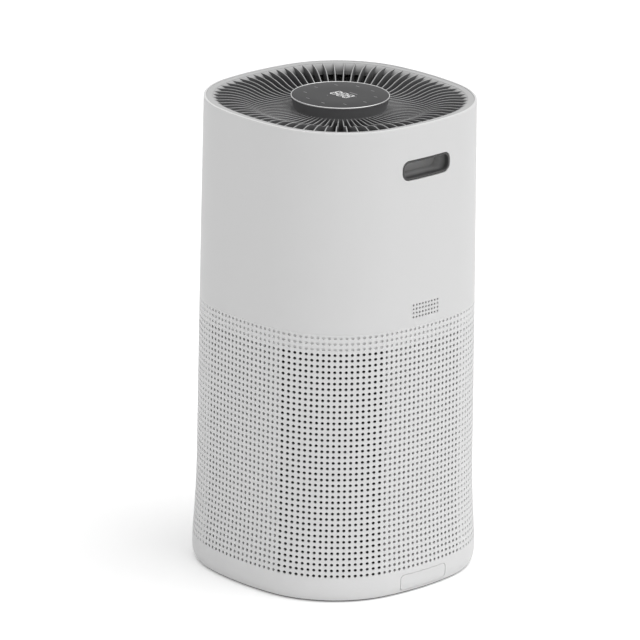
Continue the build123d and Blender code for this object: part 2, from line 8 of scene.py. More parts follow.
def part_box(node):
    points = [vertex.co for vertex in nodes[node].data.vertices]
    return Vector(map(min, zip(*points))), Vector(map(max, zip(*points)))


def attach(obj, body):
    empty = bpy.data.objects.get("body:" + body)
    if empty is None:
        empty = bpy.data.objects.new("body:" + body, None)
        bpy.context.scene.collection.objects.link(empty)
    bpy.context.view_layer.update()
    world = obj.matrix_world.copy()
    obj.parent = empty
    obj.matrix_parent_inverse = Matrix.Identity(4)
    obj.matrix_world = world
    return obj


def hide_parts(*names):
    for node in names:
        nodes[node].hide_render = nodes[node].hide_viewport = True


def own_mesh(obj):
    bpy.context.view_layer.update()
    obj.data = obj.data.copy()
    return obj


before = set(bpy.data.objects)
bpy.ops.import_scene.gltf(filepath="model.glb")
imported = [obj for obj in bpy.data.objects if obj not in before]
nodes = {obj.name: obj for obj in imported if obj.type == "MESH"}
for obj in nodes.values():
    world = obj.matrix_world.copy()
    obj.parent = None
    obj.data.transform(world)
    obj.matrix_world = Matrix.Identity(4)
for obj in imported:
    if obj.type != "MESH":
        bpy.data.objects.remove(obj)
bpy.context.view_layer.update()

# Sizes are in millimetres, in the CAD frame; meshes are scaled to metres as they are made
mm = 0.001


def nodeBox(name):
    # low and high corner of a CAD node, in millimetres
    low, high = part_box(name)
    return np.array(low) / mm, np.array(high) / mm


# Outline of the body: shallow face arcs blended into wide corner arcs, in eight zones of 45 degrees
body = {"faceHalf": 139.2, "cornerRadius": 105.3, "faceSweep": 8.96, "wall": 2.5, "zones": 8}
faceHalf = body["faceHalf"]
cornerRadius = body["cornerRadius"]
faceTurn = radians(body["faceSweep"])
arcShare = sin(faceTurn) - cos(faceTurn)
faceRadius = (faceHalf + cornerRadius * arcShare) / (1 + arcShare)
cornerCentre = (faceRadius - cornerRadius) * sin(faceTurn)
zoneTurn = 2 * pi / body["zones"]


def zoneReach(grow):
    # half of a zone's flat width: the outline's radius at the zone's edge, times the sine of half its turn
    along = cornerCentre * (cos(zoneTurn / 2) + sin(zoneTurn / 2))
    off = cornerCentre * (cos(zoneTurn / 2) - sin(zoneTurn / 2))
    return (along + np.sqrt((cornerRadius + grow) ** 2 - off**2)) * sin(zoneTurn / 2)


def onOutline(zone, across, grow, height):
    # depth along the zone's normal is a circle's height over its chord: face arc, or corner arc beyond it
    faceBend = faceRadius + grow
    cornerBend = cornerRadius + grow
    faceDepth = faceHalf - faceRadius + np.sqrt(faceBend**2 - across**2)
    sideDepth = cornerCentre + np.sqrt(cornerBend**2 - (np.abs(across) - cornerCentre) ** 2)
    faceDepth = np.where(np.abs(across) < faceBend * sin(faceTurn), faceDepth, sideDepth)
    cornerDepth = cornerCentre * sqrt(2) + np.sqrt(cornerBend**2 - across**2)
    depth = np.where(zone % 2 == 0, faceDepth, cornerDepth)
    turn = zone * zoneTurn
    x = depth * np.cos(turn) - across * np.sin(turn)
    y = depth * np.sin(turn) + across * np.cos(turn)
    return np.stack(np.broadcast_arrays(x, y, height), axis=-1)


meshing = {"sharpAngle": 35, "holeSides": 12}  # degrees; points round a hole


def addPiece(name, points, polygons, bodyName, material):
    # points (n, 3) in millimetres, polygons a list of index arrays (k, corners)
    mesh = bpy.data.meshes.new(name)
    faces = [group.reshape(-1, group.shape[-1]) for group in polygons if group.size]
    counts = np.concatenate([np.full(len(group), group.shape[1]) for group in faces])
    corners = np.concatenate([group.ravel() for group in faces])
    starts = np.concatenate([[0], np.cumsum(counts)[:-1]])
    mesh.vertices.add(len(points))
    mesh.vertices.foreach_set("co", (points * mm).astype(np.float32).ravel())
    mesh.loops.add(len(corners))
    mesh.loops.foreach_set("vertex_index", corners.astype(np.int32))
    mesh.polygons.add(len(counts))
    mesh.polygons.foreach_set("loop_start", starts.astype(np.int32))
    mesh.update(calc_edges=True)
    mesh.validate()
    mesh.polygons.foreach_set("use_smooth", np.ones(len(mesh.polygons), dtype=bool))
    mesh.set_sharp_from_angle(angle=radians(meshing["sharpAngle"]))
    mesh.materials.append(material)
    piece = bpy.data.objects.new(name, mesh)
    bpy.context.scene.collection.objects.link(piece)
    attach(piece, bodyName)
    return piece


def grey(tone):
    # the same tone in all three channels
    return (tone, tone, tone)


def feed(tree, socket, value):
    # a socket takes a link from another socket, or a plain value
    if isinstance(value, bpy.types.NodeSocket):
        tree.links.new(value, socket)
    else:
        socket.default_value = value


def mathNode(tree, operation, *values):
    # one operation on sockets or plain values
    node = tree.nodes.new("ShaderNodeMath")
    node.operation = operation
    for socket, value in zip(node.inputs, values):
        feed(tree, socket, value)
    return node.outputs[0]


def mapRange(tree, value, fromMin, fromMax, toMin=0, toMax=1):
    # a straight line from one range to another, held at its ends
    node = tree.nodes.new("ShaderNodeMapRange")
    settings = {"Value": value, "From Min": fromMin, "From Max": fromMax, "To Min": toMin, "To Max": toMax}
    for label, setting in settings.items():
        feed(tree, node.inputs[label], setting)
    return node.outputs["Result"]


def mixColours(tree, share, first, second):
    # from the first colour, at share zero, to the second
    node = tree.nodes.new("ShaderNodeMix")
    node.data_type = "RGBA"
    for place, value in ((0, share), (6, first), (7, second)):  # the colours are inputs 6 and 7, output 2
        feed(tree, node.inputs[place], value)
    return node.outputs[2]


def objectAxes(tree):
    # x, y and z of the Object coordinates
    split = tree.nodes.new("ShaderNodeSeparateXYZ")
    tree.links.new(tree.nodes.new("ShaderNodeTexCoord").outputs["Object"], split.inputs[0])
    return split.outputs


# Shared shader group: fine moulded grain over a slow mottle, for colour, roughness and bump
moulded = {"grainDetail": 2, "mottleDetail": 3, "grainShare": 0.35, "bumpDistance": 0.0002}


def grainGroup():
    # the blend of the two noises runs from shade to tint and from low to high roughness
    group = bpy.data.node_groups.new("mouldedGrain", "ShaderNodeTree")
    face = group.interface
    for label, kind, value in (
        ("Tint", "NodeSocketColor", (0.8, 0.8, 0.8, 1)),
        ("Shade", "NodeSocketColor", (0.7, 0.7, 0.7, 1)),
        ("Grain", "NodeSocketFloat", 900.0),
        ("Mottle", "NodeSocketFloat", 12.0),
        ("RoughLow", "NodeSocketFloat", 0.4),
        ("RoughHigh", "NodeSocketFloat", 0.6),
        ("Stretch", "NodeSocketVector", (1, 1, 1)),
    ):
        face.new_socket(label, in_out="INPUT", socket_type=kind).default_value = value
    for label, kind in (
        ("Color", "NodeSocketColor"), ("Roughness", "NodeSocketFloat"), ("Height", "NodeSocketFloat"),
    ):
        face.new_socket(label, in_out="OUTPUT", socket_type=kind)
    given = group.nodes.new("NodeGroupInput").outputs
    result = group.nodes.new("NodeGroupOutput").inputs
    stretch = group.nodes.new("ShaderNodeVectorMath")
    stretch.operation = "MULTIPLY"
    group.links.new(group.nodes.new("ShaderNodeTexCoord").outputs["Object"], stretch.inputs[0])
    group.links.new(given["Stretch"], stretch.inputs[1])

    def noise(scale, detail):
        # noise at one of the group's scales, on the stretched place
        node = group.nodes.new("ShaderNodeTexNoise")
        node.inputs["Detail"].default_value = detail
        group.links.new(given[scale], node.inputs["Scale"])
        group.links.new(stretch.outputs[0], node.inputs["Vector"])
        return node.outputs["Fac"]

    grain = noise("Grain", moulded["grainDetail"])
    mottle = noise("Mottle", moulded["mottleDetail"])
    slow = mathNode(group, "MULTIPLY", mottle, 1 - moulded["grainShare"])
    blend = mathNode(group, "MULTIPLY_ADD", grain, moulded["grainShare"], slow)
    group.links.new(mixColours(group, blend, given["Shade"], given["Tint"]), result["Color"])
    group.links.new(mapRange(group, blend, 0, 1, given["RoughLow"], given["RoughHigh"]), result["Roughness"])
    group.links.new(grain, result["Height"])
    return group


grainNodes = grainGroup()


def plastic(name, tint, spread=0.06, grain=900, mottle=12, rough=(0.4, 0.55), bump=0.05,
            stretch=(1, 1, 1), metallic=0.0):
    # Principled surface whose colour, roughness and bump come from the shared grain
    material = bpy.data.materials.new(name)
    material.use_nodes = True
    tree = material.node_tree
    shader = tree.nodes["Principled BSDF"].inputs
    shader["Metallic"].default_value = metallic
    group = tree.nodes.new("ShaderNodeGroup")
    group.node_tree = grainNodes
    settings = {
        "Tint": (*[min(1, c * (1 + spread)) for c in tint], 1),
        "Shade": (*[c * (1 - spread) for c in tint], 1),
        "Grain": grain, "Mottle": mottle, "RoughLow": rough[0], "RoughHigh": rough[1], "Stretch": stretch,
    }
    for label, value in settings.items():
        group.inputs[label].default_value = value
    relief = tree.nodes.new("ShaderNodeBump")
    relief.inputs["Strength"].default_value = bump
    relief.inputs["Distance"].default_value = moulded["bumpDistance"]
    tree.links.new(group.outputs["Color"], shader["Base Color"])
    tree.links.new(group.outputs["Roughness"], shader["Roughness"])
    tree.links.new(group.outputs["Height"], relief.inputs["Height"])
    tree.links.new(relief.outputs["Normal"], shader["Normal"])
    return material


def tintOver(material, share, tint):
    # the base colour gives way to another tint, by a share
    tree = material.node_tree
    colour = tree.nodes["Principled BSDF"].inputs["Base Color"]
    present = colour.links[0].from_socket
    tree.links.new(mixColours(tree, share, present, (*tint, 1)), colour)


shellPlastic = plastic("shellPlastic", grey(0.67), spread=0.015, rough=(0.42, 0.56))
intakePlastic = plastic("intakePlastic", grey(0.70), spread=0.015, rough=(0.42, 0.56))
darkPlastic = plastic("darkPlastic", (0.046, 0.046, 0.047), rough=(0.45, 0.6))
innerPlastic = plastic("innerPlastic", (0.30, 0.30, 0.29), rough=(0.45, 0.6))
ductPlastic = plastic("ductPlastic", (0.06, 0.06, 0.061), rough=(0.5, 0.65))
wheelPlastic = plastic("wheelPlastic", (0.065, 0.065, 0.067), rough=(0.35, 0.5))
capPlastic = plastic("capPlastic", (0.07, 0.07, 0.072), rough=(0.5, 0.65))
fleece = plastic("filterFleece", (0.72, 0.72, 0.68), spread=0.1, grain=1500, rough=(0.85, 0.98), bump=0.5)
circuitBoard = plastic("circuitBoard", (0.012, 0.10, 0.035), spread=0.25, grain=400, mottle=90,
                       rough=(0.3, 0.45))
displayBlock = plastic("displayBlock", (0.01, 0.01, 0.011), rough=(0.15, 0.3))
motorSteel = plastic("motorSteel", (0.50, 0.50, 0.51), grain=500, rough=(0.25, 0.45), stretch=(1, 1, 30),
                     metallic=1.0)
shaftSteel = plastic("shaftSteel", (0.58, 0.58, 0.59), grain=700, rough=(0.15, 0.3), stretch=(1, 1, 40),
                     metallic=1.0)
footRubber = plastic("footRubber", grey(0.02), grain=1200, rough=(0.75, 0.9), bump=0.2)
leadRubber = plastic("leadRubber", grey(0.025), grain=900, rough=(0.6, 0.75), bump=0.1)
print("materials ready")


def shellGrid(name, plan, bodyName, material):
    # One closed grid of rings: down the outside, under the wall, up the inside; columns go round the zones
    columns = plan["columns"]
    perZone = columns // body["zones"]
    outer = np.array(plan["heights"])  # top to bottom
    inner = np.maximum(outer, plan["innerFloor"])[::-1]
    under = np.array(plan["under"]).reshape(-1, 2)  # rings between: growth, height
    heights = np.concatenate([outer, under[:, 1], inner])
    grows = np.concatenate([plan["outerGrow"](outer), under[:, 0], plan["innerGrow"](inner)])
    rings = len(heights)
    line = np.arange(columns)
    across = zoneReach(grows)[:, None] * (2 * (line % perZone) / perZone - 1)[None, :]
    zones = (line // perZone)[None, :]
    points = [onOutline(zones, across, grows[:, None], heights[:, None]).reshape(-1, 3)]
    count = rings * columns

    def corner(ring, column):
        # index of a grid point; rings and columns both close on themselves
        return (ring % rings) * columns + column % columns

    ring, column = np.meshgrid(np.arange(rings), line, indexing="ij")
    plain = np.ones((rings, columns), dtype=bool)
    polygons = []

    # Perforated cells: a ring of points in each, joined to the corners, through to the inside or blind
    sides = meshing["holeSides"]
    quarter = sides // 4
    phase = pi / 4 + 2 * pi * np.arange(sides) / sides
    for cells in plan["holes"]:
        row, col = [axis.ravel() for axis in np.meshgrid(cells["rows"], cells["columns"], indexing="ij")]
        plain[row, col] = False
        middle = (outer[row] + outer[row + 1]) / 2
        share = 2 * (col % perZone + 0.5) / perZone - 1
        centre = (zoneReach(plan["outerGrow"](middle)) * share)[:, None]
        zone = (col // perZone)[:, None]
        for radius, behind in ((cells["radius"], False), (cells["backRadius"], True)):
            ringHeight = middle[:, None] + radius * np.sin(phase)
            grow = plan["outerGrow"](ringHeight)
            if behind:
                grow = grow - cells["depth"] if cells["depth"] else plan["innerGrow"](ringHeight)
            rim = onOutline(zone, centre + radius * np.cos(phase), grow, ringHeight)
            points.append(rim.reshape(-1, 3))
        front = count + np.arange(row.size * sides).reshape(-1, sides)
        back = front + row.size * sides
        count += 2 * row.size * sides
        polygons.append(np.stack([front, np.roll(front, -1, 1), np.roll(back, -1, 1), back], axis=-1))
        layers = [(front, row, row + 1, 1)]
        if cells["depth"]:
            polygons.append(back)
        else:
            layers.append((back, rings - 1 - row, rings - 2 - row, -1))
            plain[rings - 2 - row, col] = False
        for loop, top, low, way in layers:
            a, b, c, d = corner(top, col), corner(top, col + 1), corner(low, col + 1), corner(low, col)
            for number, (first, second) in enumerate(((b, a), (a, d), (d, c), (c, b)), 1):
                arc = [loop[:, (number * quarter - step) % sides] for step in range(quarter + 1)]
                polygons.append(np.stack([first, second, *arc][::way], axis=-1))

    # Windows: the rim of a block of cells is drawn in to a rounded rectangle, cut through the wall
    for hole in plan["windows"]:
        top, low, left, right = hole["block"]
        loop = np.concatenate([
            np.stack([np.arange(top, low), np.full(low - top, left)], axis=-1),
            np.stack([np.full(right - left, low), np.arange(left, right)], axis=-1),
            np.stack([np.arange(low, top, -1), np.full(low - top, right)], axis=-1),
            np.stack([np.full(right - left, top), np.arange(right, left, -1)], axis=-1),
        ])
        plain[top:low, left:right] = False
        plain[rings - 1 - low:rings - 1 - top, left:right] = False
        spots = np.stack([across[loop[:, 0], loop[:, 1]], heights[loop[:, 0]]], axis=-1)
        half = np.array(hole["size"]) / 2 - hole["round"]
        offset = spots - [0, hole["middle"]]
        core = np.clip(offset, -half, half)
        away = offset - core
        bend = hole["round"] * away / np.linalg.norm(away, axis=1, keepdims=True)
        edge = [0, hole["middle"]] + core + bend
        for grow in (plan["outerGrow"](edge[:, 1]), plan["innerGrow"](edge[:, 1])):
            points.append(onOutline(hole["zone"], edge[:, 0], grow, edge[:, 1]))
        size = len(loop)
        outerRim = count + np.arange(size)
        innerRim = outerRim + size
        count += 2 * size
        front = corner(loop[:, 0], loop[:, 1])
        behind = corner(rings - 1 - loop[:, 0], loop[:, 1])
        for first, second in ((front, outerRim), (outerRim, innerRim), (innerRim, behind)):
            polygons.append(np.stack([first, np.roll(first, -1), np.roll(second, -1), second], axis=-1))

    ring, column = ring[plain], column[plain]
    polygons.append(np.stack([
        corner(ring, column), corner(ring + 1, column),
        corner(ring + 1, column + 1), corner(ring, column + 1),
    ], axis=-1))
    return addPiece(name, np.concatenate(points), polygons, bodyName, material)


# Intake shell: straight side, hollow flare and rounded skirt, perforated by 43 rows of holes
intake = {
    "draftHeight": 120.0, "draftGrowth": 1.4, "flareHeight": 38.0, "skirtFlare": 5.7, "skirtHeight": 14.0,
    "skirtTuck": 3.5, "lipWidth": 8.0, "lipThickness": 2.5,
    "skirtRows": (24.0, 20.5, 17.0, 14.0, 11.5, 9.0, 6.5, 4.2),
    "rowPitch": 6.38, "firstRow": 298.45, "holeRows": 43, "blindRows": 3, "splitRow": 22, "columns": 144,
    "holeRadius": 1.70, "backRadius": 1.96, "dimple": 1.9,
    "tabGap": (0.75, 0.45), "tabRound": 4.9, "tabColumns": (-6, 6),
    "socketGap": 0.2, "socketRound": 0.4, "socketColumns": (-2, 2), "socketLift": 4,
}
seamHeight = nodeBox("intake_shell")[1][2]
skirtBottom = nodeBox("intake_shell")[0][2]
lipTop = skirtBottom + intake["lipThickness"]
hollowDrop = intake["draftHeight"] - intake["flareHeight"]
roundDrop = intake["flareHeight"] - intake["skirtHeight"]
lean = intake["draftGrowth"] / (seamHeight - intake["draftHeight"])
flareGrowth = (intake["skirtFlare"] * hollowDrop + intake["draftGrowth"] * roundDrop
               + lean * hollowDrop * roundDrop / 2) / (hollowDrop + roundDrop)
hollowBend = 2 * (flareGrowth - intake["draftGrowth"] - lean * hollowDrop) / hollowDrop**2
roundBend = 2 * (intake["skirtFlare"] - flareGrowth) / roundDrop**2
curlDrop = intake["skirtHeight"] - skirtBottom
curlRadius = (curlDrop**2 + intake["skirtTuck"] ** 2) / (2 * intake["skirtTuck"])


def intakeGrow(height):
    # straight lean, then two opposed arcs, so shallow that parabolas give them, then the curl's circle
    fall = intake["draftHeight"] - height
    straight = lean * (seamHeight - height)
    hollow = intake["draftGrowth"] + lean * fall + hollowBend * fall**2 / 2
    crown = intake["skirtFlare"] - roundBend * (height - intake["skirtHeight"]) ** 2 / 2
    curl = np.sqrt(curlRadius**2 - np.minimum(height - intake["skirtHeight"], 0) ** 2) - curlRadius
    lower = np.where(height > intake["skirtHeight"], crown, intake["skirtFlare"] + curl)
    return np.where(fall < 0, straight, np.where(height > intake["flareHeight"], hollow, lower))


def intakeInner(height):
    # one wall inside the outer side, and upright below the skirt's widest point
    return intakeGrow(np.maximum(height, intake["skirtHeight"])) - body["wall"]


rowEdges = intake["firstRow"] + intake["rowPitch"] * (0.5 - np.arange(intake["holeRows"] + 1))
upperRows = np.concatenate([[seamHeight], rowEdges[:intake["splitRow"] + 1]])
lowerRows = np.concatenate([rowEdges[intake["splitRow"]:], intake["skirtRows"], [skirtBottom]])
perforated = {
    "columns": np.arange(intake["columns"]), "radius": intake["holeRadius"],
    "backRadius": intake["backRadius"], "depth": 0,
}
blind = {**perforated, "backRadius": intake["holeRadius"], "depth": intake["dimple"]}
upperCells = 1 + np.arange(intake["splitRow"])
intakeTop = shellGrid("intakeSkinTop", {
    "columns": intake["columns"], "heights": upperRows, "innerFloor": 0, "under": [],
    "outerGrow": intakeGrow, "innerGrow": intakeInner, "windows": [],
    "holes": [
        {**blind, "rows": upperCells[:intake["blindRows"]]},
        {**perforated, "rows": upperCells[intake["blindRows"]:]},
    ],
}, "body", intakePlastic)

lowerCells = np.arange(intake["holeRows"] - intake["splitRow"])
tabBox = nodeBox("release_tab")
socketBox = nodeBox("power_inlet")
zoneColumns = intake["columns"] // body["zones"]
tabColumns = zoneColumns // 2 + np.array(intake["tabColumns"])
socketColumns = 2 * zoneColumns + zoneColumns // 2 + np.array(intake["socketColumns"])
lipGrow = intake["skirtFlare"] - intake["skirtTuck"] - intake["lipWidth"]
firstSkirt = len(lowerCells)
lastSkirt = len(lowerRows) - 1
intakeLow = shellGrid("intakeSkinLow", {
    "columns": intake["columns"], "heights": lowerRows, "innerFloor": lipTop,
    "under": [(lipGrow, skirtBottom), (lipGrow, lipTop)],
    "outerGrow": intakeGrow, "innerGrow": intakeInner,
    "holes": [{**perforated, "rows": lowerCells}],
    "windows": [
        {
            "zone": 0, "block": (firstSkirt, lastSkirt, *tabColumns), "round": intake["tabRound"],
            "middle": (tabBox[0][2] + tabBox[1][2]) / 2,
            "size": tabBox[1][1:] - tabBox[0][1:] + 2 * np.array(intake["tabGap"]),
        },
        {
            "zone": 2, "block": (firstSkirt, lastSkirt - intake["socketLift"], *socketColumns),
            "round": intake["socketRound"], "middle": (socketBox[0][2] + socketBox[1][2]) / 2,
            "size": socketBox[1][[0, 2]] - socketBox[0][[0, 2]] + 2 * intake["socketGap"],
        },
    ],
}, "body", intakePlastic)
for piece in (intakeTop, intakeLow):
    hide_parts("intake_shell")
print("intake shell ready")

# Upper shell: straight taper to a rounded rim, with two grip holes and the sensor's patch of holes
upper = {
    "rimInset": 2.4, "rimRound": 0.8, "rimSteps": 5, "columns": 200, "shoulderRows": 4, "sideRows": 18,
    "gripRound": 9.2, "gripGap": 0.9, "gripRows": 10, "gripBlock": 13.5, "gripColumns": 4, "seamGap": 0.1,
    "sensorHoles": (9, 4), "sensorPitch": 4.45, "sensorRise": 16.7, "sensorRadius": 1.35,
}
rimHeight = nodeBox("upper_shell")[1][2]
upperBottom = seamHeight + upper["seamGap"]
gripBox = nodeBox("grip_cup_right")
gripMiddle = (gripBox[0][2] + gripBox[1][2]) / 2
gripSize = gripBox[1][1:] - gripBox[0][1:] + 2 * upper["gripGap"]


def upperTaper(height):
    # inwards in proportion to the height over the seam
    return -upper["rimInset"] * (height - seamHeight) / (rimHeight - seamHeight)


def upperGrow(height):
    # straight taper, with a quarter circle at the rim
    over = np.maximum(height - rimHeight + upper["rimRound"], 0)
    rim = np.sqrt(np.maximum(upper["rimRound"] ** 2 - over**2, 0))
    return upperTaper(height) - upper["rimRound"] + rim


def upperInner(height):
    # one wall inside the taper
    return upperTaper(height) - body["wall"]


def rowsBetween(top, low, count):
    # evenly spaced rows, without the two ends
    return np.linspace(top, low, count + 2)[1:-1]


sensorAcross, sensorDown = upper["sensorHoles"]
rimRows = rimHeight - upper["rimRound"] * (1 - np.sin(np.linspace(pi / 2, 0, upper["rimSteps"])))
gripRows = gripMiddle + np.linspace(upper["gripBlock"], -upper["gripBlock"], upper["gripRows"])
sensorMiddle = seamHeight + upper["sensorRise"]
sensorRows = sensorMiddle + upper["sensorPitch"] * (sensorDown / 2 - np.arange(sensorDown + 1))
upperHeights = np.concatenate([
    rimRows, rowsBetween(rimRows[-1], gripRows[0], upper["shoulderRows"]), gripRows,
    rowsBetween(gripRows[-1], sensorRows[0], upper["sideRows"]), sensorRows, [upperBottom],
])
gripTop = len(rimRows) + upper["shoulderRows"]
gripLow = gripTop + len(gripRows) - 1
sensorTop = len(upperHeights) - 1 - len(sensorRows)
perUpper = upper["columns"] // body["zones"]
gripReach = np.array([upper["gripColumns"], perUpper - upper["gripColumns"]])
upperSkin = shellGrid("upperSkin", {
    "columns": upper["columns"], "heights": upperHeights, "innerFloor": 0, "under": [],
    "outerGrow": upperGrow, "innerGrow": upperInner,
    "holes": [{
        "rows": sensorTop + np.arange(sensorDown), "depth": 0,
        "radius": upper["sensorRadius"], "backRadius": upper["sensorRadius"],
        "columns": perUpper // 2 + np.arange(sensorAcross) - sensorAcross // 2,
    }],
    "windows": [
        {
            "zone": zone, "block": (gripTop, gripLow, *(zone * perUpper + gripReach)),
            "round": upper["gripRound"], "middle": gripMiddle, "size": gripSize,
        }
        for zone in (0, body["zones"] // 2)
    ],
}, "body", shellPlastic)
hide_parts("upper_shell")
print("upper shell ready")


def lathe(name, profile, steps, bodyName, material):
    # (radius, height) outline turned about Z; an outline that starts and ends on the axis closes at two poles
    profile = np.array(profile, dtype=float)
    solid = profile[0, 0] == 0
    rings = profile[1:-1] if solid else profile
    turn = 2 * pi * np.arange(steps) / steps
    points = np.stack(np.broadcast_arrays(
        rings[:, :1] * np.cos(turn), rings[:, :1] * np.sin(turn), rings[:, 1:],
    ), axis=-1).reshape(-1, 3)
    ring, column = np.meshgrid(np.arange(len(rings) - solid), np.arange(steps), indexing="ij")
    before = ring * steps
    after = (ring + 1) % len(rings) * steps
    beside = (column + 1) % steps
    polygons = [np.stack([before + column, after + column, after + beside, before + beside], axis=-1)]
    if solid:
        points = np.concatenate([points, [[0, 0, profile[0, 1]], [0, 0, profile[-1, 1]]]])
        first = np.arange(steps)
        last = (len(rings) - 1) * steps + first
        crown = np.full(steps, len(points) - 2)
        foot = crown + 1
        polygons.append(np.stack([crown, first, np.roll(first, -1)], axis=-1))
        polygons.append(np.stack([foot, np.roll(last, -1), last], axis=-1))
    return addPiece(name, points, polygons, bodyName, material)


# Outlet grille: 72 slats whose top edges climb in an S from the neck, and the neck's tub
# the slats' top edges get a painted highlight of highlightTint; highlightPower narrows it towards the crest
grille = {
    "count": 72, "thickness": 1.4, "level": 3.0, "run": 54.0, "bezelFall": 0.3, "neckDrop": 11.8,
    "slatDepth": 14.0, "ledge": 3.0, "tipGap": 0.3, "stations": 30, "edgePoints": 7, "neckRadius": 50.6,
    "neckFlare": 2.6, "neckWall": 2.5, "collar": 0.6, "wellGap": 0.2, "steps": 144,
    "tint": (0.085, 0.085, 0.087), "highlightTint": 0.42, "highlightPower": 2.0, "neckTint": (0.125, 0.125, 0.128),
}
bezelBox = nodeBox("top_bezel")
grilleBox = nodeBox("outlet_grille")
slatReach = (grilleBox[1][0] - grilleBox[0][0]) / 2
bezelGrow = slatReach + grille["tipGap"] - faceHalf
slatCrest = faceHalf + bezelGrow - grille["level"]
slatRoot = grille["neckRadius"] - grille["neckWall"] / 2
neckFoot = rimHeight - grille["neckDrop"]
slatTop = bezelBox[1][2] - grille["bezelFall"]
slatFloor = neckFoot - grille["slatDepth"]
ledgeTop = bezelBox[0][2] + grille["ledge"]


def outlineRadius(turn, grow):
    # axis to the outline in a direction, by the face arc or the corner arc that lies there
    away = np.abs((turn + pi / 4) % (pi / 2) - pi / 4)
    faceBend = faceRadius + grow
    shift = faceHalf - faceRadius
    faceEnd = np.arctan2(faceBend * sin(faceTurn), shift + faceBend * cos(faceTurn))
    onFace = shift * np.cos(away) + np.sqrt(faceBend**2 - (shift * np.sin(away)) ** 2)
    bend = np.sqrt((cornerRadius + grow) ** 2 - (cornerCentre * (np.cos(away) - np.sin(away))) ** 2)
    onCorner = cornerCentre * (np.cos(away) + np.sin(away)) + bend
    return np.where(away < faceEnd, onFace, onCorner)


def slatCurve(radius):
    # level at the neck and the tip; between them two opposed arcs, each half the run and half the rise
    run = grille["run"] / 2
    rise = (slatTop - neckFoot) / 2
    bend = (run**2 + rise**2) / (2 * rise)
    fromHollow = np.clip(radius - slatCrest + 2 * run, 0, run)
    fromCrest = np.clip(slatCrest - radius, 0, run)
    hollow = neckFoot + bend - np.sqrt(bend**2 - fromHollow**2)
    crown = slatTop - bend + np.sqrt(bend**2 - fromCrest**2)
    return np.where(radius < slatCrest - run, hollow, crown)


def slatFan():
    # a section with a half-round top edge, carried out along each slat; each point keeps its share of the
    # painted highlight along the top edge
    half = grille["thickness"] / 2
    turn = 2 * pi * np.arange(grille["count"]) / grille["count"]
    tip = outlineRadius(turn, bezelGrow) - grille["tipGap"]
    share = np.linspace(0, 1, grille["stations"])
    radius = slatRoot + (tip[:, None] - slatRoot) * share
    top = slatCurve(radius)
    climb = np.clip((radius - slatRoot) / (slatCrest - slatRoot), 0, 1)
    foot = slatFloor + (ledgeTop - slatFloor) * climb
    arc = np.linspace(pi, 0, grille["edgePoints"])
    side = np.concatenate([[-half, -half], half * np.cos(arc), [half, half]])
    lift = np.concatenate([[0, 0.5], np.ones(arc.size), [0.5, 0]])  # share of the height below the edge
    crest = np.concatenate([[0, 0], half * np.sin(arc), [0, 0]])
    height = foot[..., None] + (top - half - foot)[..., None] * lift + crest
    x = radius[..., None] * np.cos(turn)[:, None, None] - side * np.sin(turn)[:, None, None]
    y = radius[..., None] * np.sin(turn)[:, None, None] + side * np.cos(turn)[:, None, None]
    points = np.stack(np.broadcast_arrays(x, y, height), axis=-1).reshape(-1, 3)
    index = np.arange(height.size).reshape(height.shape)
    near, far = index[:, :-1], index[:, 1:]
    quads = np.stack([near, far, np.roll(far, -1, 2), np.roll(near, -1, 2)], axis=-1)
    polygons = [quads, index[:, 0], index[:, -1, ::-1]]
    fan = addPiece("slatFan", points, polygons, "body", grillePlastic)
    # painted highlight: its share is one on the crest of each top edge and nothing on the sides
    tone = fan.data.attributes.new("highlightShare", "FLOAT", "POINT")
    tone.data.foreach_set("value", np.broadcast_to(crest / half, height.shape).astype(np.float32).ravel())
    return fan


def paintedHighlightPlastic(name, plan, rough):
    # grained plastic with a painted highlight: paler along the top edges that carry the highlightShare
    # attribute
    material = plastic(name, plan["tint"], rough=rough)
    tree = material.node_tree
    tone = tree.nodes.new("ShaderNodeAttribute")
    tone.attribute_name = "highlightShare"
    share = mathNode(tree, "POWER", tone.outputs["Fac"], plan["highlightPower"])
    tintOver(material, share, grey(plan["highlightTint"]))
    return material


def paintedShadeWall(name, plan, top, rough):
    # grained plastic on the flat ring; below it painted shade darkens the wall smoothly between two heights,
    # as if shade fell into the cavity
    material = plastic(name, grey(plan["tint"]), spread=0.02, rough=rough)
    tree = material.node_tree
    colour = tree.nodes["Principled BSDF"].inputs["Base Color"]
    ringColour = colour.links[0].from_socket
    height = objectAxes(tree)["Z"]
    # painted shade: the colour runs from the shade tint, the fade's length below the top, up to the plain
    # tint at the top
    climb = mapRange(tree, height, (top - plan["shadeFade"]) * mm, top * mm)
    wall = mixColours(tree, climb, (*grey(plan["shadeTint"]), 1), (*grey(plan["tint"]), 1))
    onRing = mathNode(tree, "GREATER_THAN", height, top * mm)
    tree.links.new(mixColours(tree, onRing, wall, ringColour), colour)
    return material


bezel = {"tint": 0.42, "shadeTint": 0.15, "shadeFade": 9.1, "lift": 0.1}  # the painted shade's fade starts a lift over the slats
bezelPlastic = paintedShadeWall("bezelPlastic", bezel, slatTop + bezel["lift"], (0.4, 0.5))
grillePlastic = paintedHighlightPlastic("grillePlastic", grille, (0.4, 0.55))
slats = slatFan()

# Cove of the bezel: a thin lip that slopes in and down between the tips of the slats, darkened downwards by
# painted shade
cove = {
    "fall": 0.3, "drop": 9.0, "reach": 13.0, "power": 0.75, "edge": 0.6, "gap": 0.1, "thickness": 1.6,
    "columns": 200, "rows": 13, "tint": 0.40, "shadeTint": 0.025, "shadeFade": 6.8,
}
coveTop = slatTop - cove["fall"]
covePlastic = paintedShadeWall("covePlastic", cove, coveTop, (0.4, 0.5))


